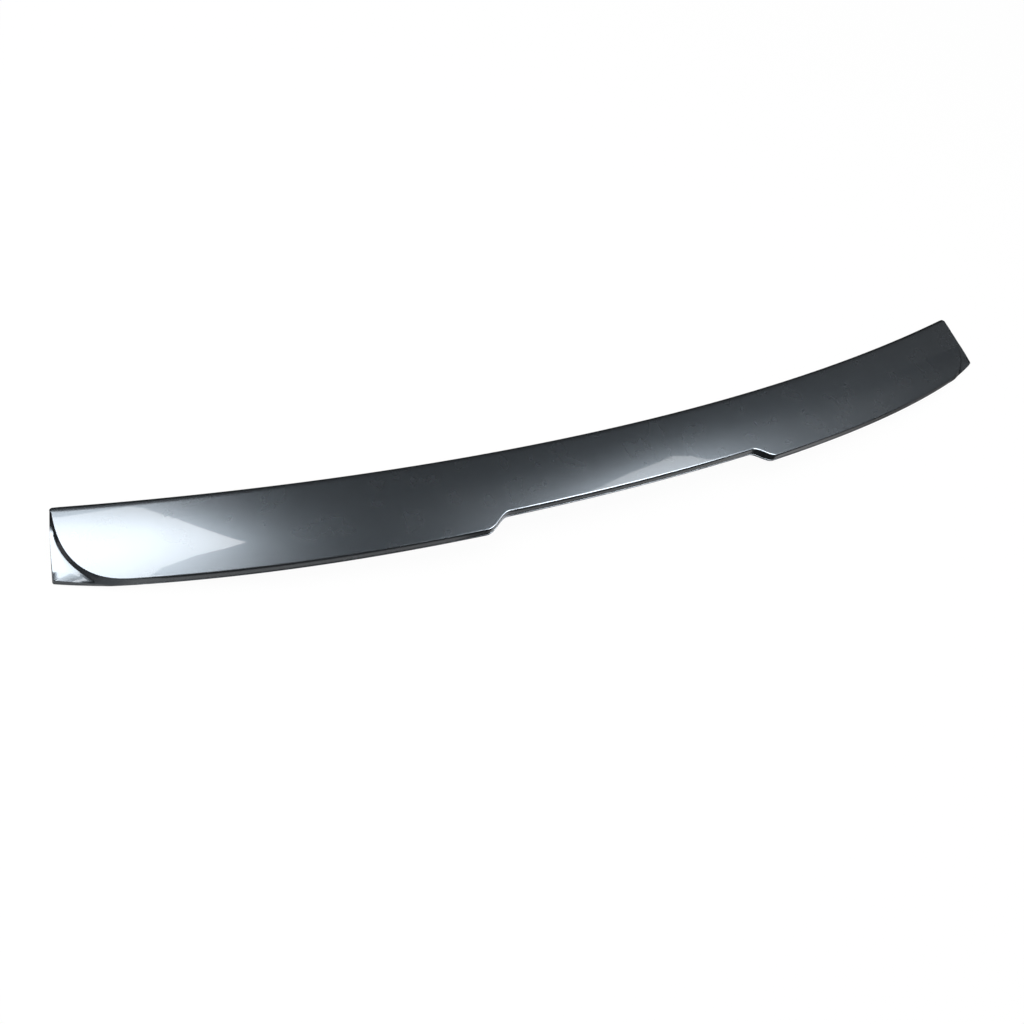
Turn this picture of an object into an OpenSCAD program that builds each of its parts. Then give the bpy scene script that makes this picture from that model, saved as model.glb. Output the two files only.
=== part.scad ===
// Slim one-piece rear spoiler: a moulded shell with a bowed top face, a standing trailing wall
// with a shallow notch, two raised corners over low tips, and a ribbed hollow underneath.
// X runs across the vehicle, +Y forward, +Z up. The origin is the middle of the bonding land.

/* [Span and depth] */
// Span of the top face, from one leading corner to the other
top_span = 1104; // [950:1:1250]
// Depth from leading edge to trailing edge at the middle, as if there were no notch
depth = 85; // [75:0.5:105]
// Height of the trailing edge, from the top face down to the underside of the lip
trail_height = 12.4; // [10:0.1:20]

/* [Sweep and droop] */
// Forward reach of the ends of the leading edge
lead_bow = 65; // [50:0.5:80]
// Drop of the ends of the leading edge
lead_drop = 31.3; // [20:0.1:45]
// Forward reach of the ends of the trailing edge, as an even curve
trail_bow = 59.5; // [45:0.5:72]
// More reach of the trailing edge, which gathers towards its ends
trail_sweep = 14.5; // [0:0.5:24]
// Drop of the ends of the trailing edge
trail_drop = 38.2; // [26:0.1:48]
// Rise of the top face half-way back, over a straight line
crown = 1.5; // [0:0.1:3]

/* [Notch] */
// Width of the notch in the trailing edge, along its inner line
notch_width = 296; // [200:1:400]
// Width of the slanted stretch at each end of the notch
notch_ramp = 28; // [20:1:60]
// Depth of the notch
notch_depth = 14.7; // [5:0.1:20]

/* [Ends] */
// Length of the rounded corner of the top face, along the trailing edge
corner_len = 60; // [40:1:90]
// Squareness of that corner, where 2 is an ellipse
corner_power = 2.9; // [2:0.1:4]
// Height of the wall round that corner
corner_step = 4.4; // [4:0.1:7]
// Lean of that wall, as run over rise
corner_lean = 0.55; // [0:0.05:0.6]
// Reach of the low tip past the leading corner
tip_reach = 13.5; // [8:0.5:20]
// Forward turn of the tip, out of the line of the trailing edge
tip_turn = 3.4; // [0:0.1:6]
// Upward turn of the tip
tip_rise = 1.8; // [0:0.1:3]
// Fullness of the end's outline, where 1 is a straight line
end_power = 0.85; // [0.5:0.05:1]

/* [Edges] */
// Plan radius of the leading corners and of the tips
tip_round = 2; // [1:0.5:5]
// Width of the rolled leading edge
lead_roll = 7; // [5:0.5:10]
// Fall of the top face over that roll
lead_fall = 3.2; // [2:0.1:3.6]
// Thickness of the leading edge and of the land behind it
lead_thick = 4.6; // [4.2:0.1:6]
// Radius of the trailing and side edges
edge_radius = 1.5; // [0.8:0.1:2]
// Thickness of the lip at the foot of the walls
lip_thick = 2; // [1.5:0.1:3]
// Reach of the lip past the trailing wall
lip_reach = 0.4; // [0.2:0.1:1.5]
// Bevel on the lip's edge
lip_bevel = 0.3; // [0.1:0.1:0.6]

/* [Underside] */
// Thickness of the skin under the top face
skin = 3; // [2.4:0.1:3.6]
// Thickness of the trailing and side walls
wall = 3; // [2.4:0.1:4]
// Slope of the hollow's walls, as run over the whole height
wall_draft = 0.4; // [0.2:0.1:0.8]
// Width of the bonding land, behind the roll of the leading edge
land_width = 17; // [15:0.5:24]
// Width of the tape recess in the land
tape_width = 12; // [8:0.5:13]
// Depth of the tape recess
tape_depth = 0.8; // [0.4:0.1:1]
// Thickness of a rib
rib_thick = 2; // [1.5:0.1:3]
// Gap between the ribs' feet and the line from the land to the lip
rib_gap = 0.8; // [0.4:0.1:1]
// Ribs on each side, beside the notch
side_ribs = 3; // [2:1:4]

/* [Hidden] */

half = top_span / 2;
corner_x = half - corner_len;
notch_in = notch_width / 2;
notch_out = notch_in + notch_ramp;
edge_out = edge_radius + lip_reach;
wall_in = wall - edge_radius;
mid_angle = 45;
ramp_steps = 8;
corner_steps = 10;
roll_steps = 4;
rear_rows = 5;
corner_cut = tip_round * (1 - sqrt(0.5));
tip_step = tip_round / 3;
tape_front = (land_width - tape_width) / 2;
tape_back = tape_front + tape_width;
recess_draft = 0.3;
rib_draft = 0.25;
step = 0.001;

// Shares of the corner and its angles over which the wall round it changes height and lean
sink_run = 0.5;
nose_run = 0.2;
lean_start = 25;
lean_stop = 10;
nose_blend = 0.15;

land_mid = -lead_roll - land_width / 2;

function mix(a, b, k) = a + (b - a) * k;
function ease(k) = let (c = min(max(k, 0), 1)) c * c * (3 - 2 * c);
function share(x) = pow(x / half, 2);
function flip(p, side) = [side * p[0], p[1]];

// Plan lines of the top face, inside its rounded edges
function front_y(x) = lead_bow * share(x) - lead_roll;
function rear_y(x) = edge_out - depth + trail_bow * share(x) + trail_sweep * pow(share(x), 2);
function notch_y(x) = notch_depth * ease((notch_out - abs(x)) / notch_ramp);
function trail_y(x) = rear_y(x) + notch_y(x);

// Height of the top face over any point of the plan
function rise(x, y) =
    let (k = (y - rear_y(x)) / (front_y(x) - rear_y(x)))
    mix(-trail_drop, -lead_drop, k) * share(x) + 4 * crown * k * (1 - k);

// Rounded corner of the top face: angle 0 is on the trailing line, 90 at the leading corner
function corner_point(angle) =
    let (
        x = half - corner_len * (1 - pow(sin(angle), 2 / corner_power)),
        k = 1 - pow(cos(angle), 2 / corner_power)
    )
    [x, mix(rear_y(x), front_y(x), k)];
function corner_normal(angle) =
    let (
        a = corner_point(max(angle - step, 0)),
        b = corner_point(min(angle + step, 90)),
        t = (b - a) / norm(b - a)
    )
    [t[1], -t[0]];
function end_angle(v) =
    let (k = mix(1, 1 - pow(cos(mid_angle), 2 / corner_power), v))
    acos(pow(1 - k, corner_power / 2));

// The trailing line moved out by d, with each point kept at its own x
function trail_out(x, d) =
    let (slope = (trail_y(x + step) - trail_y(x - step)) / (2 * step))
    [x, trail_y(x) - d * sqrt(1 + slope * slope)];

// A column runs from the leading to the trailing edge: [side, x, share of the corner, is a rib]
function bay(x, w) =
    let (a = rib_thick / 2, b = a + rib_draft)
    [
        for (c = [[0, 0], [w / 4, 0], [w / 2 - b, 0], [w / 2 - a, 1], [w / 2 + a, 1], [w / 2 + b, 0], [w * 3 / 4, 0]])
            [x + c[0], 0, c[1]]
    ];
side_bay = (corner_x - notch_out) / side_ribs;
half_columns = [
    each bay(0, notch_in),
    for (i = [0:ramp_steps - 1]) [mix(notch_in, notch_out, i / ramp_steps), 0, 0],
    for (i = [0:side_ribs - 1]) each bay(notch_out + i * side_bay, side_bay),
    for (i = [0:corner_steps - 1]) [corner_x, i / corner_steps, 0],
    [corner_x, 1 - tip_step / corner_len, 0],
    [corner_x, 1, 0]
];
columns = [
    for (i = [len(half_columns) - 1:-1:1]) [-1, each half_columns[i]],
    for (c = half_columns) [1, each c]
];

// Rows lie at set distances behind the front line, then spread evenly up to a narrow last one
land_rows = [
    0, tape_front, tape_front + recess_draft, tape_back - recess_draft, tape_back, land_width,
    land_width + recess_draft
];
ncol = len(columns);
nland = len(land_rows);
nrow = nland + rear_rows;

// Plan points of a column's two ends, with the side and rear edges moved in by d
function front_point(c, d) = let (x = mix(c[1], half - d, c[2])) [x, front_y(x)];
function rear_point(c, d) =
    c[2] == 0
    ? trail_out(c[1], -d)
    : corner_point(c[2] * mid_angle) - d * corner_normal(c[2] * mid_angle);
function end_point(v, d) = corner_point(end_angle(v)) - d * corner_normal(end_angle(v));
function row_share(c, j) =
    let (
        long = norm(front_point(c, 0) - rear_point(c, 0)),
        land = land_rows[min(j, nland - 1)] / long,
        k = (j - nland + 1) / (rear_rows - 1)
    )
    j < nland ? land : j == nrow - 1 ? 1 : mix(land, 1 - tip_step / long, k);

// Plan point of the grid, bent to the rounded end over the corner columns
function grid_point(i, j, d) =
    let (
        c = columns[i],
        v = row_share(c, j),
        bend = end_point(v, d) - mix(end_point(0, d), end_point(1, d), v)
    )
    flip(mix(front_point(c, d), rear_point(c, d), v) + bend * pow(c[2], 2), c[0]);

// Thickness below the top face: land, tape recess, hollow skin, or rib
function tape_here(i) = columns[i][2] == 0 && abs(columns[i][1]) < corner_x;
function rib_depth(i, j) =
    let (
        v = row_share(columns[i], j),
        v_land = row_share(columns[i], nland - 2),
        p = grid_point(i, j, wall_in),
        a = grid_point(i, nland - 2, wall_in),
        b = grid_point(i, nrow - 1, wall_in),
        foot = mix(rise(a[0], a[1]) - lead_thick, rise(b[0], b[1]) - trail_height, (v - v_land) / (1 - v_land))
    )
    rise(p[0], p[1]) - foot - rib_gap;
function thickness(i, j) =
    j >= nland - 1 ? (columns[i][3] == 1 ? rib_depth(i, j) : skin)
    : (j == 2 || j == 3) && tape_here(i) ? lead_thick - tape_depth
    : lead_thick;

top_grid = [
    for (i = [0:ncol - 1]) for (j = [0:nrow - 1])
        let (p = grid_point(i, j, 0)) [p[0], p[1], rise(p[0], p[1])]
];
under_grid = [
    for (i = [0:ncol - 1]) for (j = [0:nrow - 1])
        let (p = grid_point(i, j, wall_in)) [p[0], p[1], rise(p[0], p[1]) - thickness(i, j)]
];

// The ring round the grids: trailing edge, right end, leading edge, left end
ring = [
    for (i = [0:ncol - 1]) [i, nrow - 1],
    for (j = [nrow - 2:-1:1]) [ncol - 1, j],
    for (i = [ncol - 1:-1:0]) [i, 0],
    for (j = [1:nrow - 2]) [0, j]
];

// Profile of the leading edge, as [out, down] from the top face: roll, nose, bevel, land
lead_profile = [
    for (i = [1:roll_steps])
        let (a = 90 * i / roll_steps) [lead_roll * sin(a), lead_fall * (1 - cos(a))],
    for (i = [1:3]) [lead_roll, mix(lead_fall, lead_thick, i / 4)],
    [lead_roll - lip_bevel, lead_thick],
    [lead_roll / 2, lead_thick]
];
nloop = len(lead_profile);

// Height of the wall from the trailing edge, round the corner, to the leading corner
trail_wall = trail_height - lip_thick;
nose_wall = lead_thick - lip_thick;
function wall_height(angle) =
    let (t = angle / 90)
    mix(trail_wall, corner_step, ease(t / sink_run))
    + (nose_wall - corner_step) * ease(1 - (1 - t) / nose_run);
function lean(angle) = corner_lean * ease(angle / lean_start) * ease((90 - angle) / lean_stop);

// Outline of the lip: along the trailing line to the tip, then up the end to the leading corner
tip_x = half + tip_reach;
function trail_lip(c) =
    let (
        x = mix(c[1], tip_x, c[2]),
        p = trail_out(x, edge_out),
        k = pow(c[2], 2),
        cut = c[2] == 1 ? corner_cut : 0
    )
    [x - cut, p[1] + tip_turn * k + cut, rise(x, trail_y(x)) - trail_height + tip_rise * k];
tip = trail_lip([1, corner_x, 1]) + [corner_cut, -corner_cut, 0];
nose = [half + edge_radius, front_y(half) + lead_roll, rise(half, front_y(half)) - lead_thick];
function end_lip(v) = let (p = mix(nose, tip, v)) [mix(nose[0], tip[0], pow(v, end_power)), p[1], p[2]];

// Points of one loop of the wall, from edge round to hollow, at a place on the side or rear
function wall_point(l, p, normal, angle, lip) =
    let (
        a = 90 * l / roll_steps,
        top = rise(p[0], p[1]),
        high = wall_height(angle),
        foot = p + normal * (edge_radius + lean(angle) * high),
        inner = p + normal * (wall_draft - wall_in),
        inward = [foot[0] - lip[0], foot[1] - lip[1]],
        bevel = lip_bevel * inward / norm(inward)
    )
    l <= roll_steps
    ? [each p + normal * edge_radius * sin(a), top - edge_radius * (1 - cos(a))]
    : l == roll_steps + 1 ? [each foot, top - high]
    : l == roll_steps + 2 ? lip + [bevel[0], bevel[1], lip_thick]
    : l == roll_steps + 3 ? lip + [0, 0, lip_thick - lip_bevel]
    : l == roll_steps + 4 ? lip
    : [each inner, top - high - lip_thick];

function rear_loop(l, c) =
    let (
        angle = c[2] * mid_angle,
        p = rear_point(c, 0),
        slope = (trail_out(c[1], 0) - trail_out(c[1], 1))[1],
        normal = c[2] == 0 ? [0, -slope] : corner_normal(angle)
    )
    wall_point(l, p, normal, angle, trail_lip(c));
function end_loop(l, v) =
    let (
        angle = end_angle(v),
        q = wall_point(l, end_point(v, 0), corner_normal(angle), angle, end_lip(v)),
        z = rise(half, front_y(half)) - lead_profile[l - 1][1]
    )
    [q[0], q[1], mix(q[2], z, 1 - ease(v / nose_blend))];
function lead_loop(l, c) =
    let (
        p = front_point(c, 0),
        out = l < nloop ? min(edge_radius, lead_profile[l - 1][0]) : wall_draft - wall_in,
        cut = c[2] == 1 && l < nloop ? corner_cut : 0,
        side = c[2] == 1 ? out - cut : 0
    )
    [p[0] + side, p[1] + lead_profile[l - 1][0] - cut, rise(p[0], p[1]) - lead_profile[l - 1][1]];
function loop_point(l, i, j) =
    let (
        c = columns[i],
        p = j == nrow - 1 ? rear_loop(l, c) : j == 0 ? lead_loop(l, c) : end_loop(l, row_share(c, j))
    )
    [c[0] * p[0], p[1], p[2]];
loops = [for (l = [1:nloop]) for (r = ring) loop_point(l, r[0], r[1])];

// Faces: the top grid, the strips between loops, and the underside grid turned over
nring = len(ring);
loop_start = ncol * nrow;
under_start = loop_start + nloop * nring;
function grid_id(r) = r[0] * nrow + r[1];
function loop_id(l, k) =
    let (m = k % nring)
    l == 0 ? grid_id(ring[m])
    : l > nloop ? under_start + grid_id(ring[m])
    : loop_start + (l - 1) * nring + m;
function two(a, b, c, d) = [[a, b, c], [a, c, d]];
grid_cells = [for (i = [0:ncol - 2]) for (j = [0:nrow - 2]) [grid_id([i, j]), grid_id([i + 1, j])]];
top_faces = [for (g = grid_cells) each two(g[0], g[1], g[1] + 1, g[0] + 1)];
under_faces = [
    for (g = grid_cells) let (u = g + [under_start, under_start]) each two(u[0], u[0] + 1, u[1] + 1, u[1])
];
wall_faces = [
    for (l = [0:nloop]) for (k = [0:nring - 1])
        each two(loop_id(l, k), loop_id(l, k + 1), loop_id(l + 1, k + 1), loop_id(l + 1, k))
];

module spoiler_blade() {
    color([0.22, 0.235, 0.25])
        translate([0, -land_mid, lead_thick - rise(0, land_mid)])
            polyhedron(
                points = [each top_grid, each loops, each under_grid],
                faces = [each top_faces, each wall_faces, each under_faces],
                convexity = 10
            );
}

spoiler_blade();
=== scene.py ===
import math

import bpy
from mathutils import Matrix, Vector


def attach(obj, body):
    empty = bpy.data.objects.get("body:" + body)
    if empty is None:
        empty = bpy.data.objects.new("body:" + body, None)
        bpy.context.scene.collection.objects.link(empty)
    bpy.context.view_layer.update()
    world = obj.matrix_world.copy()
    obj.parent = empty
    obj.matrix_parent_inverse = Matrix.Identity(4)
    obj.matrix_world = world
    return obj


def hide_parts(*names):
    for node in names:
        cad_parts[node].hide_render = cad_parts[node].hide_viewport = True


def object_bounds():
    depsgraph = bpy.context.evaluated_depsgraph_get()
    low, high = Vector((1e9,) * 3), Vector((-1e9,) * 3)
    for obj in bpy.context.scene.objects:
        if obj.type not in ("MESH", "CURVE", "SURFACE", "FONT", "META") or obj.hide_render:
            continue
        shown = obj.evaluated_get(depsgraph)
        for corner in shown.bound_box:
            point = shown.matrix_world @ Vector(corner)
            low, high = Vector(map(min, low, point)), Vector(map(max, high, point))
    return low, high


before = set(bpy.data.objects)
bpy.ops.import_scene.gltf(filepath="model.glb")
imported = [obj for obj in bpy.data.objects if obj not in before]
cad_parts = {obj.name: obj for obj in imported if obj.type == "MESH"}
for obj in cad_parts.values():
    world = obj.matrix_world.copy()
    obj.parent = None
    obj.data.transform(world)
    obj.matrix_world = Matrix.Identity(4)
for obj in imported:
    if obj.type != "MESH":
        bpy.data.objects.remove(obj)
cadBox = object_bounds()
mm = 0.001

# The blade's values, in millimetres and degrees. Most are the values of the part's source.
blade = {
    # Span, depth, sweep and droop of the top face
    "topSpan": 1104, "depth": 85, "trailHeight": 12.4, "crown": 1.5,
    "leadBow": 65, "leadDrop": 31.3, "trailBow": 59.5, "trailSweep": 14.5, "trailDrop": 38.2,
    # Notch, rounded corners and tips
    "notchWidth": 296, "notchRamp": 28, "notchDepth": 14.7,
    "cornerLen": 60, "cornerPower": 2.9, "cornerStep": 4.4, "cornerLean": 0.55,
    "tipReach": 13.5, "tipTurn": 3.4, "tipRise": 1.8, "tipRound": 2, "endPower": 0.85,
    # Leading edge, crease and lip
    "leadRoll": 7, "leadFall": 3.2, "leadThick": 4.6, "edgeRadius": 1.5, "cornerRadius": 0.6,
    "lipThick": 2, "lipReach": 0.4, "lipBevel": 0.3, "lipRadius": 0.5,
    # Fillet at the wall's foot, share of the ledge before its rim's middle, where in its last step
    # the rim starts, and the width of a full ledge
    "footRadius": 0.9, "rimShare": 0.96, "rimStart": 0.9, "ledgeFull": 2.4,
    # A ledge is slim up to the first width and normal from the second. Where it is slim, the wall
    # goes this share of the way to the lip, and the lip and the fillet get these sizes.
    "slimWidth": 1.9, "normalWidth": 3.4, "slimShare": 0.9,
    "slimLipShare": 0.3, "slimLipRadius": 0.1, "slimFootRadius": 0.4,
    # Turns round the corner, in degrees, over which the edge takes its new form
    "radiusTurn": 20, "leanStart": 25, "leanEnd": 10, "slimTurn": 60,
    # Shares of the corner over which the wall sinks and the nose begins, of the end over which its
    # edge turns into the leading one, and of the corner's columns over which that one turns back
    "sinkShare": 0.5, "noseShare": 0.2, "aheadShare": 0.15, "leadShare": 0.14,
    # Underside
    "skin": 3, "wall": 3, "wallDraft": 0.4, "landWidth": 17, "tapeWidth": 12, "tapeDepth": 0.8,
    "ribThick": 2, "ribGap": 0.8, "ribDraft": 0.25, "recessDraft": 0.3, "sideRibs": 3,
    # Fineness: gaps between columns, and steps round the corner and behind the land
    "columnGap": 4, "rampGap": 2, "cornerSteps": 26, "rearSteps": 14,
    # Steps down the edge: rounding, wall, fillet, ledge, its rim, and the round of the lip
    "edgeSteps": {"round": 8, "wall": 2, "fillet": 4, "ledge": 3, "rim": 5, "lip": 3},
    "mergeGap": 0.002, "smoothAngle": 32,
}

half = blade["topSpan"] / 2
cornerX = half - blade["cornerLen"]
notchIn = blade["notchWidth"] / 2
notchOut = notchIn + blade["notchRamp"]
edgeOut = blade["edgeRadius"] + blade["lipReach"]
wallIn = blade["wall"] - blade["edgeRadius"]
landMid = -blade["leadRoll"] - blade["landWidth"] / 2
quarter = math.pi / 2
middleAngle = quarter / 2
tiny = 0.001


def mix(a, b, k):
    return a + (b - a) * k


def ease(k):
    c = min(max(k, 0), 1)
    return c * c * (3 - 2 * c)


def share(x):
    return (x / half) ** 2


# Plan lines of the top face
def frontY(x):
    return blade["leadBow"] * share(x) - blade["leadRoll"]


def rearY(x):
    sweep = blade["trailBow"] * share(x) + blade["trailSweep"] * share(x) ** 2
    return edgeOut - blade["depth"] + sweep


def trailY(x):
    return rearY(x) + blade["notchDepth"] * ease((notchOut - abs(x)) / blade["notchRamp"])


# Height of the top face over the plan
def rise(x, y):
    k = (y - rearY(x)) / (frontY(x) - rearY(x))
    droop = mix(-blade["trailDrop"], -blade["leadDrop"], k) * share(x)
    return droop + 4 * blade["crown"] * k * (1 - k)


# The rounded corner: angle 0 is on the trailing line, a right angle at the leading corner
def cornerPoint(angle):
    x = half - blade["cornerLen"] * (1 - max(math.sin(angle), 0) ** (2 / blade["cornerPower"]))
    k = 1 - max(math.cos(angle), 0) ** (2 / blade["cornerPower"])
    return Vector((x, mix(rearY(x), frontY(x), k)))


def cornerNormal(angle):
    along = cornerPoint(min(angle + tiny, quarter)) - cornerPoint(max(angle - tiny, 0))
    return Vector((along.y, -along.x)).normalized()


# The edge's radius gets smaller round the corner, and the top face reaches out to meet it
def edgeRadiusAt(angle):
    turned = ease(math.degrees(angle) / blade["radiusTurn"])
    return mix(blade["edgeRadius"], blade["cornerRadius"], turned)


def growth(angle, d):
    return (blade["edgeRadius"] - edgeRadiusAt(angle)) * math.sin(middleAngle) if d == 0 else 0


def endAngle(v):
    k = mix(1, 1 - math.cos(middleAngle) ** (2 / blade["cornerPower"]), v)
    return math.acos((1 - k) ** (blade["cornerPower"] / 2))


def trailOut(x, d):
    slope = (trailY(x + tiny) - trailY(x - tiny)) / (2 * tiny)
    return Vector((x, trailY(x) - d * math.hypot(1, slope)))


# Columns across the blade: place, share of the corner, and whether a rib stands there
bayWidth = (cornerX - notchOut) / blade["sideRibs"]
ribPlaces = [notchIn / 2] + [notchOut + (i + 0.5) * bayWidth for i in range(blade["sideRibs"])]
ribHalf = blade["ribThick"] / 2
ribEdges = [p + s * w for p in ribPlaces for s in (-1, 1) for w in (ribHalf, ribHalf + blade["ribDraft"])]
marks = sorted([0, notchIn, notchOut, cornerX] + ribEdges)
halfColumns = []
for low, high in zip(marks, marks[1:]):
    gap = blade["rampGap"] if notchIn <= low < notchOut else blade["columnGap"]
    count = math.ceil((high - low) / gap)
    for n in range(count):
        x = mix(low, high, n / count)
        halfColumns.append((x, 0, any(abs(x - p) < ribHalf + tiny for p in ribPlaces)))
# The last steps up to an edge get finer
fineSteps = [0.055, 0.046, 0.037, 0.028, 0.019, 0.0095, 0]
fineShares = [1 - t for t in fineSteps]
cornerShares = [mix(0, fineShares[0], n / blade["cornerSteps"]) for n in range(blade["cornerSteps"])]
halfColumns += [(cornerX, c, False) for c in cornerShares + fineShares]
halfCount = len(halfColumns)
columns = [(-1, n) for n in range(halfCount - 1, 0, -1)] + [(1, n) for n in range(halfCount)]
columnCount = len(columns)

# Rows: set distances behind the front line for the land, then shares of what is left
tapeFront = (blade["landWidth"] - blade["tapeWidth"]) / 2
tapeBack = tapeFront + blade["tapeWidth"]
draft = blade["recessDraft"]
frontRows = [0, 0.45, 0.9, 1.4, 1.9]
tapeRows = [tapeFront, tapeFront + draft, 6.5, 10, tapeBack - draft, tapeBack]
landRows = frontRows + tapeRows + [blade["landWidth"], blade["landWidth"] + draft]
rearShares = [mix(0, fineShares[0], n / blade["rearSteps"]) for n in range(1, blade["rearSteps"])]
rearShares += fineShares
landCount = len(landRows)
rowCount = landCount + len(rearShares)


def frontPoint(c, d):
    x = mix(c[0], half - d + growth(quarter, d), c[1])
    return Vector((x, frontY(x)))


def rearPoint(c, d):
    if c[1] == 0:
        return trailOut(c[0], -d)
    angle = c[1] * middleAngle
    return cornerPoint(angle) + (growth(angle, d) - d) * cornerNormal(angle)


def endPoint(v, d):
    angle = endAngle(v)
    return cornerPoint(angle) + (growth(angle, d) - d) * cornerNormal(angle)


def rowShare(c, j):
    long = (frontPoint(c, 0) - rearPoint(c, 0)).length
    if j < landCount:
        return landRows[j] / long
    return mix(landRows[-1] / long, 1, rearShares[j - landCount])


# One column of the grid, moved in from the edges by d, as plan points from front to rear
def columnPoints(c, d):
    front, rear = frontPoint(c, d), rearPoint(c, d)
    points = []
    for j in range(rowCount):
        v = rowShare(c, j)
        p = front.lerp(rear, v)
        if c[1] > 0:
            p += (endPoint(v, d) - endPoint(0, d).lerp(endPoint(1, d), v)) * c[1] ** 2
        points.append(p)
    return points


# Depth of the underside below the top face: the land with its tape recess, a rib, or the plain skin
def under(c, j, points):
    if j < landCount - 1:
        inTape = tapeFront + tiny < landRows[j] < tapeBack - tiny and c[1] == 0
        return blade["leadThick"] - (blade["tapeDepth"] if inTape else 0)
    if not c[2]:
        return blade["skin"]
    a, b, p = points[landCount - 2], points[-1], points[j]
    k = (rowShare(c, j) - rowShare(c, landCount - 2)) / (1 - rowShare(c, landCount - 2))
    foot = mix(rise(a.x, a.y) - blade["leadThick"], rise(b.x, b.y) - blade["trailHeight"], k)
    return rise(p.x, p.y) - foot - blade["ribGap"]


topColumns, underColumns = [], []
for c in halfColumns:
    outside, inside = columnPoints(c, 0), columnPoints(c, wallIn)
    depths = [under(c, j, inside) for j in range(rowCount)]
    topColumns.append([Vector((p.x, p.y, rise(p.x, p.y))) for p in outside])
    underColumns.append([Vector((p.x, p.y, rise(p.x, p.y) - d)) for p, d in zip(inside, depths)])
print("blade grid:", columnCount, "columns and", rowCount, "rows")

# The stations down the edge, one for each step, then the lip's bottom and the inner rim. The leading
# edge has as many, each as its reach out from the front line and its fall below the top face.
edgeSteps = blade["edgeSteps"]
wallStart = edgeSteps["round"]
lipBottom = sum(edgeSteps.values()) + 1
stationCount = lipBottom + 2
leadProfile = []
for n in range(1, edgeSteps["round"] + 1):
    a = quarter * n / edgeSteps["round"]
    leadProfile.append((blade["leadRoll"] * math.sin(a), blade["leadFall"] * (1 - math.cos(a))))
bevelTop = blade["leadThick"] - blade["lipBevel"]
for n in range(wallStart, lipBottom):
    k = (n + 1 - wallStart) / (lipBottom - wallStart)
    leadProfile.append((blade["leadRoll"], mix(blade["leadFall"], bevelTop, k)))
leadProfile.append((blade["leadRoll"] - blade["lipBevel"], blade["leadThick"]))
leadProfile.append((blade["leadRoll"] / 2, blade["leadThick"]))


# The wall sinks round the corner, then takes the leading edge's thickness at the nose
def wallHeight(angle):
    t = angle / quarter
    sunk = mix(blade["trailHeight"] - blade["lipThick"], blade["cornerStep"], ease(t / blade["sinkShare"]))
    nose = blade["leadThick"] - blade["lipThick"] - blade["cornerStep"]
    return sunk + nose * ease(1 - (1 - t) / blade["noseShare"])


def lean(angle):
    t = math.degrees(angle)
    return blade["cornerLean"] * ease(t / blade["leanStart"]) * ease((90 - t) / blade["leanEnd"])


def bend(a, b, c, k):
    return a.lerp(b, k).lerp(b.lerp(c, k), k)


# Points down the edge at one place: the crease p with its normal, and the lip's outermost point
def edgeStations(p, normal, angle, lip, ahead):
    radius, grown, top, high = edgeRadiusAt(angle), growth(angle, 0), rise(p.x, p.y), wallHeight(angle)
    innerDown = high + blade["lipThick"]
    run = blade["edgeRadius"] + lean(angle) * high - grown
    # Where the ledge is slim, the wall runs on down to the lip
    gap = (lip.xy - p.xy).dot(normal) - run
    turned = ease(math.degrees(angle) / blade["slimTurn"])
    wide = ease((gap - blade["slimWidth"]) / (blade["normalWidth"] - blade["slimWidth"]))
    slim = turned * (1 - wide)
    lipTop = lip + Vector((0, 0, blade["lipThick"] * mix(1, blade["slimLipShare"], slim)))
    run += blade["slimShare"] * slim * gap
    high = mix(high, top - lipTop.z, blade["slimShare"] * slim)
    reach = math.hypot(run, high - radius)
    lastTurn = quarter + math.atan2(high - radius, run) - math.acos(min(1, radius / reach))

    def at(out, down, n):
        slide = ahead * leadProfile[n][0]
        return Vector((p.x + normal.x * out, p.y + normal.y * out + slide, top - down))

    made = []
    for n in range(edgeSteps["round"]):
        a = lastTurn * (n + 1) / edgeSteps["round"]
        made.append(at(radius * math.sin(a), radius * (1 - math.cos(a)), n))
    foot, start = at(run, high, wallStart), made[-1]
    ledge = lipTop - foot
    width, outward = ledge.length, ledge.normalized()
    footRadius = mix(blade["footRadius"], blade["slimFootRadius"], turned)
    nearHalf = 0.45
    soft = min(footRadius, nearHalf * width, nearHalf * (foot - start).length)
    wallEnd = foot + (start - foot).normalized() * soft
    ledgeStart = foot + outward * soft
    for n in range(edgeSteps["wall"]):
        made.append(start.lerp(wallEnd, (n + 1) / edgeSteps["wall"]))
    for n in range(edgeSteps["fillet"]):
        made.append(bend(wallEnd, foot, ledgeStart, (n + 1) / edgeSteps["fillet"]))
    # A full ledge runs parallel to the top face, and a tight rim takes it down to the lip
    ledgeEnd = lipTop - outward * min(blade["lipRadius"], width / 2)
    flat = ledgeStart.lerp(ledgeEnd, blade["rimShare"])
    parallel = max(flat.z, rise(flat.x, flat.y) - high)
    flat.z = mix(flat.z, parallel, ease(width / blade["ledgeFull"]))
    for n in range(edgeSteps["ledge"]):
        made.append(ledgeStart.lerp(flat, (n + blade["rimStart"]) / edgeSteps["ledge"]))
    rimStart = made[-1]
    for n in range(edgeSteps["rim"]):
        made.append(bend(rimStart, flat, ledgeEnd, (n + 1) / edgeSteps["rim"]))
    lipSide = lipTop - Vector((0, 0, mix(blade["lipRadius"], blade["slimLipRadius"], slim)))
    for n in range(edgeSteps["lip"]):
        made.append(bend(ledgeEnd, lipTop, lipSide, (n + 1) / edgeSteps["lip"]))
    inward = Vector((foot.x - lip.x, foot.y - lip.y, 0)).normalized()
    made.append(lip + Vector((0, 0, blade["lipBevel"])))
    made.append(lip + inward * blade["lipBevel"])
    made.append(at(blade["wallDraft"] - wallIn - grown, innerDown, stationCount - 1))
    return made


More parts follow.
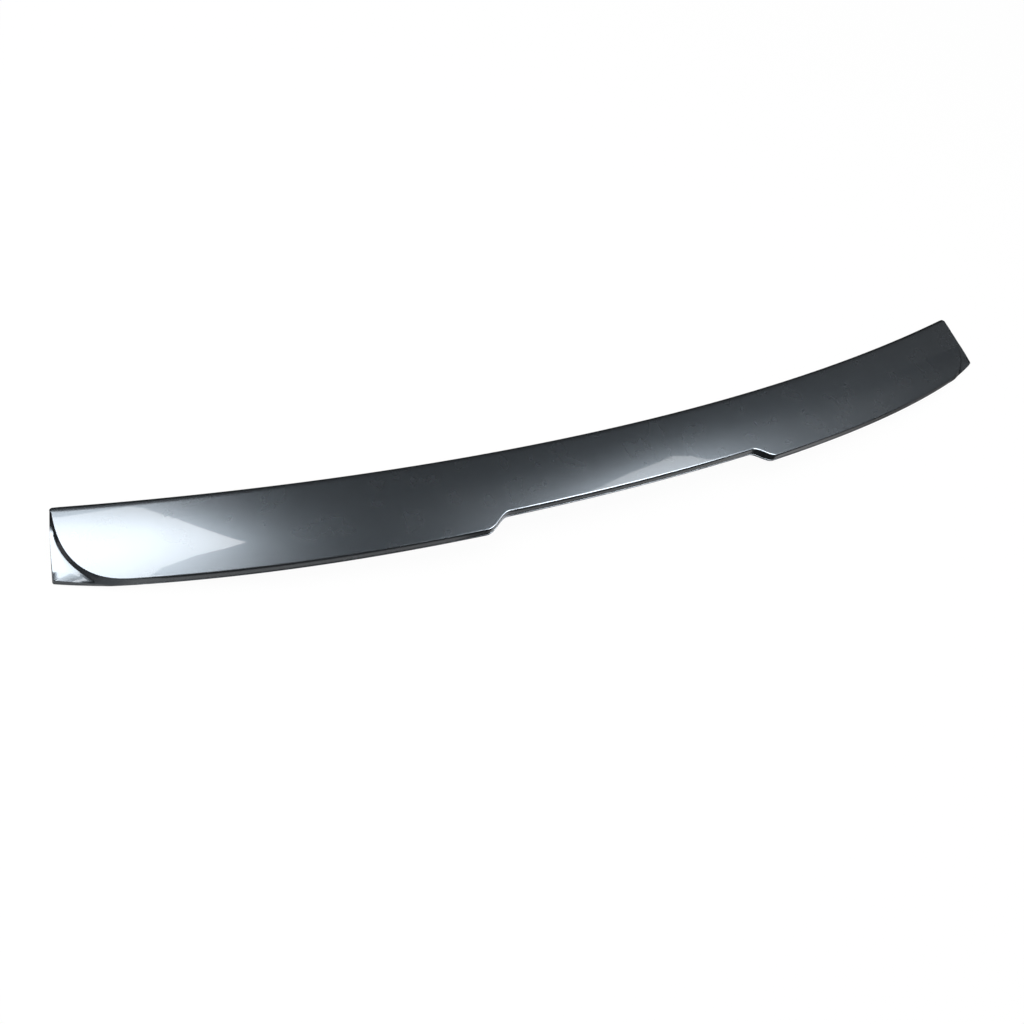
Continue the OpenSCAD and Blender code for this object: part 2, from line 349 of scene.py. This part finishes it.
# Rounds the corner at points[k] in plan; the points near it move onto an arc
def roundCorner(points, k, radius):
    straight = 6
    corner = points[k].xy.copy()
    before = (points[k - straight].xy - corner).normalized()
    after = (points[k + straight].xy - corner).normalized()
    middle = (before + after).normalized()
    halfAngle = math.acos(max(-1, min(1, before.dot(after)))) / 2
    reach, turn = radius / math.tan(halfAngle), quarter - halfAngle
    centre = corner + middle * radius / math.sin(halfAngle)
    for way, along in ((-1, before), (1, after)):
        across = (along - middle * along.dot(middle)).normalized()
        n = k if way < 0 else k + 1
        while (points[n].xy - corner).length < reach:
            a = turn * (points[n].xy - corner).length / reach
            place = centre + radius * (across * math.sin(a) - middle * math.cos(a))
            points[n].x, points[n].y = place.x, place.y
            n += way


# The lip's outline on the right: along the trailing edge to the tip, then up the end to the nose
tipX = half + blade["tipReach"]


def trailLip(c):
    x, k = mix(c[0], tipX, c[1]), c[1] ** 2
    z = rise(x, trailY(x)) - blade["trailHeight"] + blade["tipRise"] * k
    return Vector((x, trailOut(x, edgeOut).y + blade["tipTurn"] * k, z))


lastColumn = halfColumns[-1]
tip = trailLip(lastColumn)
noseTop = rise(half, frontY(half))
nose = Vector((half + blade["edgeRadius"], frontY(half) + blade["leadRoll"], noseTop - blade["leadThick"]))
lipLine = [trailLip(c) for c in halfColumns]
for j in range(rowCount - 2, -1, -1):
    v = rowShare(lastColumn, j)
    p = nose.lerp(tip, v)
    lipLine.append(Vector((mix(nose.x, tip.x, v ** blade["endPower"]), p.y, p.z)))
roundCorner(lipLine, halfCount - 1, blade["tipRound"])

# Edge points along the trailing edge, up the end, and along the leading edge
rearStations = []
for n, c in enumerate(halfColumns):
    angle = c[1] * middleAngle
    p = rearPoint(c, 0)
    straightOut = Vector((0, trailOut(c[0], 1).y - trailOut(c[0], 0).y))
    normal = cornerNormal(angle) if c[1] > 0 else straightOut
    rearStations.append(edgeStations(p, normal, angle, lipLine[n], 0))
endStations = {}
for j in range(rowCount - 2, -1, -1):
    v = rowShare(lastColumn, j)
    angle, ahead = endAngle(v), 1 - ease(v / blade["aheadShare"])
    lip = lipLine[halfCount + rowCount - 2 - j]
    made = edgeStations(endPoint(v, 0), cornerNormal(angle), angle, lip, ahead)
    for p, (out, down) in zip(made, leadProfile):
        p.z = mix(p.z, noseTop - down, ahead)
    endStations[j] = made
leadStations = []
for c in halfColumns:
    p = frontPoint(c, 0)
    made = []
    for n, (out, down) in enumerate(leadProfile):
        sideways = (endStations[0][n].x - half) * ease(1 - (1 - c[1]) / blade["leadShare"])
        made.append(Vector((p.x + sideways, p.y + out, rise(p.x, p.y) - down)))
    leadStations.append(made)
cornerRows = 12
for n in range(stationCount - 1):
    line = [endStations[j][n] for j in range(cornerRows, 0, -1)]
    line += [leadStations[-k][n] for k in range(1, cornerRows + 2)]
    roundCorner(line, cornerRows, blade["tipRound"] * leadProfile[n][0] / blade["leadRoll"])

# The ring round the grid: trailing edge, right end, leading edge, left end
last = rowCount - 1
ring = [(i, last) for i in range(columnCount)]
ring += [(columnCount - 1, j) for j in range(last - 1, 0, -1)]
ring += [(i, 0) for i in range(columnCount - 1, -1, -1)]
ring += [(0, j) for j in range(1, last)]
ringPlaces = {place: k for k, place in enumerate(ring)}
shift = Vector((0, -landMid, blade["leadThick"] - rise(0, landMid)))


def seat(p, side):
    return Vector((side * p.x + shift.x, p.y + shift.y, p.z + shift.z)) * mm


def ringPoint(n, k):
    i, j = ring[k]
    side, c = columns[i]
    table = rearStations[c] if j == last else leadStations[c] if j == 0 else endStations[j]
    return seat(table[n], side)


# A grid whose points are set in place, with those on its ring selected and marked
def addGrid(name, tables, station):
    bpy.ops.object.select_all(action="DESELECT")
    bpy.ops.mesh.primitive_grid_add(x_subdivisions=columnCount - 1, y_subdivisions=last, size=2)
    made = bpy.context.object
    made.name = made.data.name = name
    bpy.ops.object.mode_set(mode="EDIT")
    bpy.ops.mesh.select_mode(type="VERT")
    bpy.ops.mesh.select_all(action="DESELECT")
    bpy.ops.object.mode_set(mode="OBJECT")
    places = made.data.attributes.new("ringPlace", "INT", "POINT")
    stations = made.data.attributes.new("station", "INT", "POINT")
    for v in made.data.vertices:
        i = round((v.co.x + 1) / 2 * (columnCount - 1))
        j = round((1 - v.co.y) / 2 * last)
        side, c = columns[i]
        v.co = seat(tables[c][j], side)
        v.select = (i, j) in ringPlaces
        places.data[v.index].value = ringPlaces.get((i, j), -1)
        stations.data[v.index].value = station
    return made


# The top face, then its rim extruded one step at a time round to the underside
spoiler = addGrid("spoilerBlade", topColumns, 0)
underEdge = [underColumns[columns[i][1]][j] for i, j in ring]
for n in range(stationCount + 1):
    bpy.ops.object.mode_set(mode="EDIT")
    bpy.ops.mesh.extrude_region_move()
    bpy.ops.object.mode_set(mode="OBJECT")
    places, stations = (spoiler.data.attributes[a].data for a in ("ringPlace", "station"))
    for v in spoiler.data.vertices:
        if v.select:
            k = places[v.index].value
            side = columns[ring[k][0]][0]
            v.co = ringPoint(n, k) if n < stationCount else seat(underEdge[k], side)
            stations[v.index].value = n + 1
underside = addGrid("underside", underColumns, stationCount + 1)
bpy.ops.object.select_all(action="DESELECT")
underside.select_set(True)
spoiler.select_set(True)
bpy.context.view_layer.objects.active = spoiler
bpy.ops.object.join()
bpy.ops.object.mode_set(mode="EDIT")
bpy.ops.mesh.select_all(action="SELECT")
bpy.ops.mesh.remove_doubles(threshold=blade["mergeGap"] * mm)
bpy.ops.mesh.normals_make_consistent(inside=False)
bpy.ops.object.mode_set(mode="OBJECT")
bpy.ops.object.shade_smooth_by_angle(angle=math.radians(blade["smoothAngle"]))
print("blade mesh:", len(spoiler.data.polygons), "faces")

# Finishes in linear colour
finishes = {
    "paintColour": (0.0705, 0.082, 0.0935), "paintMetal": 0.9, "paintRoughness": 0.27,
    "coatShare": 0.5, "coatRoughness": 0.02, "coatIor": 1.5,
    # Size and spread of the flakes' brightness, and of a soft cloud in the roughness
    "flakeScale": 1800, "flakeSpread": 0.05, "cloudScale": 35, "cloudDetail": 3, "cloudSpread": 0.02,
    # Bare plastic under the blade, with a fine grain
    "plasticColour": (0.020, 0.021, 0.022), "plasticRoughness": 0.55, "plasticShades": (0.8, 1.3),
    "grainScale": 900, "grainDetail": 4, "grainStrength": 0.25, "grainDepth": 0.0002,
}


def newMaterial(name):
    made = bpy.data.materials.new(name)
    made.use_nodes = True
    nodes = made.node_tree.nodes
    return made, nodes, made.node_tree.links, nodes["Principled BSDF"]


# Maps 0 to 1 onto middle - spread to middle + spread
def addSpread(nodes, links, source, middle, spread):
    made = nodes.new("ShaderNodeMapRange")
    made.inputs["To Min"].default_value = middle - spread
    made.inputs["To Max"].default_value = middle + spread
    links.new(source, made.inputs["Value"])
    return made.outputs["Result"]


def addNoise(nodes, links, place, scale, detail):
    made = nodes.new("ShaderNodeTexNoise")
    made.inputs["Scale"].default_value = scale
    made.inputs["Detail"].default_value = detail
    links.new(place.outputs["Object"], made.inputs["Vector"])
    return made.outputs["Fac"]


def paintMaterial():
    made, nodes, links, shader = newMaterial("graphiteMetallicPaint")
    place = nodes.new("ShaderNodeTexCoord")
    flakes = nodes.new("ShaderNodeTexVoronoi")
    flakes.inputs["Scale"].default_value = finishes["flakeScale"]
    links.new(place.outputs["Object"], flakes.inputs["Vector"])
    bright = addSpread(nodes, links, flakes.outputs["Color"], 1, finishes["flakeSpread"])
    tint = nodes.new("ShaderNodeVectorMath")
    tint.operation = "SCALE"
    tint.inputs[0].default_value = finishes["paintColour"]
    links.new(bright, tint.inputs["Scale"])
    links.new(tint.outputs["Vector"], shader.inputs["Base Color"])
    cloud = addNoise(nodes, links, place, finishes["cloudScale"], finishes["cloudDetail"])
    rough = addSpread(nodes, links, cloud, finishes["paintRoughness"], finishes["cloudSpread"])
    links.new(rough, shader.inputs["Roughness"])
    shader.inputs["Metallic"].default_value = finishes["paintMetal"]
    shader.inputs["Coat Weight"].default_value = finishes["coatShare"]
    shader.inputs["Coat Roughness"].default_value = finishes["coatRoughness"]
    shader.inputs["Coat IOR"].default_value = finishes["coatIor"]
    return made


def plasticMaterial():
    made, nodes, links, shader = newMaterial("mouldedPlastic")
    place = nodes.new("ShaderNodeTexCoord")
    grain = addNoise(nodes, links, place, finishes["grainScale"], finishes["grainDetail"])
    shades = nodes.new("ShaderNodeValToRGB")
    for end, level in zip(shades.color_ramp.elements, finishes["plasticShades"]):
        end.color = tuple(channel * level for channel in finishes["plasticColour"]) + (1,)
    links.new(grain, shades.inputs["Fac"])
    links.new(shades.outputs["Color"], shader.inputs["Base Color"])
    bump = nodes.new("ShaderNodeBump")
    bump.inputs["Strength"].default_value = finishes["grainStrength"]
    bump.inputs["Distance"].default_value = finishes["grainDepth"]
    links.new(grain, bump.inputs["Height"])
    links.new(bump.outputs["Normal"], shader.inputs["Normal"])
    shader.inputs["Roughness"].default_value = finishes["plasticRoughness"]
    return made


# Paint outside, down to the lip's bottom, and plastic on all that lies further in
spoiler.data.materials.clear()
spoiler.data.materials.append(paintMaterial())
spoiler.data.materials.append(plasticMaterial())
stations = spoiler.data.attributes["station"].data
for face in spoiler.data.polygons:
    face.material_index = 1 if all(stations[v].value > lipBottom for v in face.vertices) else 0
spoiler.data.attributes.remove(spoiler.data.attributes["station"])
spoiler.data.attributes.remove(spoiler.data.attributes["ringPlace"])
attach(spoiler, "root")
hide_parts("spoiler_blade")
print("finishes done")

# Studio, in metres: a pale floor under the tips, a white surround, soft lamps, and cards that only
# reflections show. A fade is an axis, its start and end, and the share of the level at each.
studio = {
    "floorSize": 14, "floorColour": 0.9, "floorRoughness": 0.9, "floorGlow": 0.96,
    "skyForDiffuse": 0.5,
    # Bright cards and soft glows over the blade, from the lowest up
    "cardHeight": 1.5,
    "cardGap": 0.002,
    "cards": {
        "key": {
            "corners": [(-2, 0.96), (-1.3, 0.89), (-1.019, 0.875), (-0.985, 0.889), (-0.918, 0.91),
                        (-0.882, 0.932), (-0.813, 0.961), (-0.782, 0.97), (-0.748, 0.93),
                        (-0.666, 0.725), (-0.623, 0.609), (-0.576, 0.51), (-0.549, 0.468),
                        (-0.619, 0.43), (-0.74, 0.379), (-0.806, 0.337), (-0.85, 0.307),
                        (-0.892, 0.28), (-0.935, 0.235), (-1.02, 0.16), (-1.25, 0.1),
                        (-1.338, 0.25), (-1.49, 0.317), (-2, 0.49)],
            "level": 14, "fades": [("Y", 1.1, 0.6, 0.75, 1)],
        },
        "side": {
            "corners": [(0.36, 0.28), (0.735, 0.473), (0.885, 0.546), (1.022, 0.586), (1.102, 0.618),
                        (1.181, 0.562), (1.227, 0.495), (1.277, 0.455), (1.4, 0.2), (1.4, -2),
                        (0.36, -2)],
            "level": 7.3, "fades": [("Y", 0.3, 0.05, 1, 1.5), ("Y", -0.3, -0.7, 1, 2.6)],
        },
        "wedge": {
            "corners": [(-1.33, 0.26), (-1.4, -0.3), (-1.75, -0.35), (-1.95, 0.1), (-1.95, 0.48)],
            "level": 12, "fades": [],
        },
        "streak": {
            "corners": [(-1.62, -0.52), (-1.3, -0.52), (-1.3, -0.9), (-1.62, -0.9)],
            "level": 12, "fades": [],
        },
        "low": {
            "corners": [(-2.6, 0.4), (-1.9, 0.4), (-1.5, 0.12), (-1.02, 0.12), (-1.02, -0.5),
                        (-2.6, -0.5)],
            "level": 4, "fades": [("Y", -0.5, 0, 0.4, 1)],
        },
        "halo": {
            "corners": [(-2.25, 0.1), (-1, -0.05), (-0.45, -0.05), (-0.45, 1.25), (-2.25, 1.25)],
            "level": 3.7, "fades": [("X", -0.48, -0.85, 0.12, 1)],
        },
        "leftGlow": {
            "corners": [(-3.6, -2.8), (-0.3, -2.8), (-0.3, 2.8), (-3.6, 2.8)],
            "level": 0.38, "fades": [("X", -0.3, -0.6, 0.3, 1)],
        },
        "rightGlow": {
            "corners": [(-0.07, -2.8), (9, -2.8), (9, 0.85), (-0.07, 0.85)],
            "level": 0.44,
            "fades": [("X", -0.07, 0.3, 0.25, 1), ("Y", 0.85, 0.5, 0.25, 1), ("X", 2.2, 3.4, 1, 0.45)],
        },
    },
    # A dim tent over all of it: west, east, rear and front, and how far it hangs above the cards
    "tent": (-3.6, 9, -2.8, 2.8),
    "tentGap": 0.02,
    "ceilingLevel": 0.175,
    "ceilingFades": [("X", 2, 2.6, 0.6, 1), ("Y", 0.5, 0.7, 0.4, 1)],
    "curtainLevel": 0.02,
    # Black paper under the blade, and on it a grey card of painted shade that stands in for the floor in
    # the blade's shadow as reflections see it: the grey card's outline but for the rear one, and its reach
    # in millimetres behind the middle and the ends of the trailing edge
    "paperGap": 0.0002,
    "nearShadeCard": [(0.62, 0.06), (-0.62, 0.06), (-0.63, 0.01), (-0.655, -0.06), (-0.61, -0.09),
                  (-0.545, -0.085), (-0.51, -0.06)],
    "nearStart": -480, "nearEnd": 600, "nearStep": 40,
    "nearReach": (26, 8),
    "nearLevel": 0.5,
    "nearFades": [("X", 0.22, 0.42, 1, 0.3)],
    # Place, size and power of each lamp
    "lamps": [(-0.7, 0.2, 1.6, 1.3, 22), (0.7, -0.2, 1.6, 1.3, 10)],
}


# 1 where the camera, a reflection or a clear piece looks, and 0 where the light is diffuse
def seenAmount(nodes, links):
    paths = nodes.new("ShaderNodeLightPath")
    amount = paths.outputs["Is Camera Ray"]
    for other in ("Is Glossy Ray", "Is Transmission Ray"):
        either = nodes.new("ShaderNodeMath")
        either.operation = "MAXIMUM"
        links.new(amount, either.inputs[0])
        links.new(paths.outputs[other], either.inputs[1])
        amount = either.outputs["Value"]
    return amount


def addLamp(name, x, y, z, size, power):
    lampData = bpy.data.lights.new(name, "AREA")
    lampData.shape = "DISK"
    lampData.size = size
    lampData.energy = power
    lamp = bpy.data.objects.new(name, lampData)
    bpy.context.scene.collection.objects.link(lamp)
    lamp.location = (x, y, z)
    lamp.visible_glossy = False
    lamp.rotation_euler = Vector((x, y, z)).to_track_quat("Z", "Y").to_euler()


# A glow at one level, which each fade multiplies along one axis
def glowMaterial(name, level, fades):
    made, nodes, links, unused = newMaterial(name)
    nodes.remove(unused)
    glow = nodes.new("ShaderNodeEmission")
    glow.inputs["Strength"].default_value = level
    links.new(glow.outputs["Emission"], nodes["Material Output"].inputs["Surface"])
    made.cycles.emission_sampling = "AUTO" if level > 1 else "NONE"
    if not fades:
        return made
    place = nodes.new("ShaderNodeTexCoord")
    axes = nodes.new("ShaderNodeSeparateXYZ")
    links.new(place.outputs["Object"], axes.inputs["Vector"])
    strength = None
    for axis, start, end, first, second in fades:
        fade = nodes.new("ShaderNodeMapRange")
        fade.interpolation_type = "SMOOTHSTEP"
        scale = 1 if strength else level
        sockets = {"From Min": start, "From Max": end, "To Min": first * scale, "To Max": second * scale}
        for socket, value in sockets.items():
            fade.inputs[socket].default_value = value
        links.new(axes.outputs[axis], fade.inputs["Value"])
        result = fade.outputs["Result"]
        if strength:
            product = nodes.new("ShaderNodeMath")
            product.operation = "MULTIPLY"
            links.new(strength, product.inputs[0])
            links.new(result, product.inputs[1])
            result = product.outputs["Value"]
        strength = result
    links.new(strength, glow.inputs["Strength"])
    return made


# A card that only reflections show
def addCard(name, corners, height, level, fades):
    bpy.ops.object.select_all(action="DESELECT")
    bpy.ops.mesh.primitive_circle_add(vertices=len(corners), radius=1, fill_type="NGON")
    card = bpy.context.object
    card.name = card.data.name = name
    for v, (x, y) in zip(card.data.vertices, corners):
        v.co = Vector((x, y, height))
    card.data.materials.append(glowMaterial(name, level, fades))
    card.visible_camera = False
    card.visible_shadow = False
    card.visible_diffuse = False


for n, (name, card) in enumerate(studio["cards"].items()):
    height = studio["cardHeight"] + studio["cardGap"] * n
    addCard(name + "Card", card["corners"], height, card["level"], card["fades"])

# The tent's ceiling, its curtain down to the floor, the black paper, and the grey card of painted shade
# under the blade
west, east, rear, front = studio["tent"]
tentPlan = [(west, rear), (east, rear), (east, front), (west, front)]
tentHeight = studio["cardHeight"] + studio["tentGap"]
floorTop = cadBox[0].z
addCard("ceiling", tentPlan, tentHeight, studio["ceilingLevel"], studio["ceilingFades"])
addCard("curtain", tentPlan, tentHeight, studio["curtainLevel"], [])
curtainDrop = floorTop - studio["cardHeight"]
bpy.ops.object.mode_set(mode="EDIT")
bpy.ops.mesh.select_all(action="SELECT")
bpy.ops.mesh.delete(type="ONLY_FACE")
bpy.ops.mesh.select_all(action="SELECT")
bpy.ops.mesh.extrude_region_move(TRANSFORM_OT_translate={"value": (0, 0, curtainDrop)})
bpy.ops.object.mode_set(mode="OBJECT")
addCard("blackPaper", tentPlan, floorTop + studio["paperGap"], studio["curtainLevel"], [])
# The grey card is painted shade: a fixed glow, seen only in reflections, for the floor in the blade's
# shadow
nearPlan = list(studio["nearShadeCard"])
for x in range(studio["nearStart"], studio["nearEnd"] + 1, studio["nearStep"]):
    y = trailY(x) + shift.y - mix(*studio["nearReach"], share(x))
    nearPlan.append((x * mm, y * mm))
addCard("nearShadeCard", nearPlan, floorTop + 2 * studio["paperGap"], studio["nearLevel"], studio["nearFades"])
for n, lamp in enumerate(studio["lamps"]):
    addLamp("lamp" + str(n + 1), *lamp)


def floorMaterial():
    made, nodes, links, shader = newMaterial("floorPaper")
    shader.inputs["Base Color"].default_value = (studio["floorColour"],) * 3 + (1,)
    shader.inputs["Roughness"].default_value = studio["floorRoughness"]
    shader.inputs["Specular IOR Level"].default_value = 0
    white = nodes.new("ShaderNodeEmission")
    blend = nodes.new("ShaderNodeMixShader")
    amount = nodes.new("ShaderNodeMath")
    amount.operation = "MULTIPLY"
    amount.inputs[1].default_value = studio["floorGlow"]
    links.new(seenAmount(nodes, links), amount.inputs[0])
    links.new(amount.outputs["Value"], blend.inputs["Fac"])
    links.new(shader.outputs["BSDF"], blend.inputs[1])
    links.new(white.outputs["Emission"], blend.inputs[2])
    links.new(blend.outputs["Shader"], nodes["Material Output"].inputs["Surface"])
    return made


bpy.ops.object.select_all(action="DESELECT")
bpy.ops.mesh.primitive_plane_add(size=studio["floorSize"])
floor = bpy.context.object
floor.name = floor.data.name = "floor"
for v in floor.data.vertices:
    v.co.z = floorTop - studio["paperGap"]
floor.data.materials.append(floorMaterial())

# A white surround for the camera and reflections, and a softer one for diffuse light
world = bpy.data.worlds.new("studioWorld")
bpy.context.scene.world = world
world.use_nodes = True
world.cycles.sampling_method = "NONE"
nodes, links = world.node_tree.nodes, world.node_tree.links
background = nodes["Background"]
background.inputs["Color"].default_value = (1, 1, 1, 1)
skyLevel = nodes.new("ShaderNodeMapRange")
skyLevel.inputs["To Min"].default_value = studio["skyForDiffuse"]
skyLevel.inputs["To Max"].default_value = 1
links.new(seenAmount(nodes, links), skyLevel.inputs["Value"])
links.new(skyLevel.outputs["Result"], background.inputs["Strength"])
print("studio done")

# The camera, as found from the photograph's outline: degrees, millimetres, and pixels for the focus
view = {
    "azimuth": -44.153, "elevation": 58.282, "roll": 25.277,
    "distance": 937.04, "aim": (-147.934, -52.502, 4.01),
    "focus": 950, "pixels": 1024, "sensor": 36, "clip": (0.01, 50),
}
azimuth, elevation, roll = (math.radians(view[k]) for k in ("azimuth", "elevation", "roll"))
back = Vector((math.sin(azimuth) * math.cos(elevation), -math.cos(azimuth) * math.cos(elevation),
               math.sin(elevation)))
levelRight = Vector((math.cos(azimuth), math.sin(azimuth), 0))
levelUp = back.cross(levelRight)
right = levelRight * math.cos(roll) + levelUp * math.sin(roll)
upright = levelUp * math.cos(roll) - levelRight * math.sin(roll)
cameraData = bpy.data.cameras.new("camera")
cameraData.sensor_width = view["sensor"]
cameraData.lens = view["sensor"] * view["focus"] / view["pixels"]
cameraData.clip_start, cameraData.clip_end = view["clip"]
camera = bpy.data.objects.new("camera", cameraData)
bpy.context.scene.collection.objects.link(camera)
bpy.context.scene.camera = camera
cameraPlace = (Vector(view["aim"]) + back * view["distance"]) * mm
cameraTurn = Matrix((right, upright, back)).transposed().to_4x4()
camera.matrix_world = Matrix.Translation(cameraPlace) @ cameraTurn
bpy.context.scene.view_settings.view_transform = "Standard"

print("scene ready")
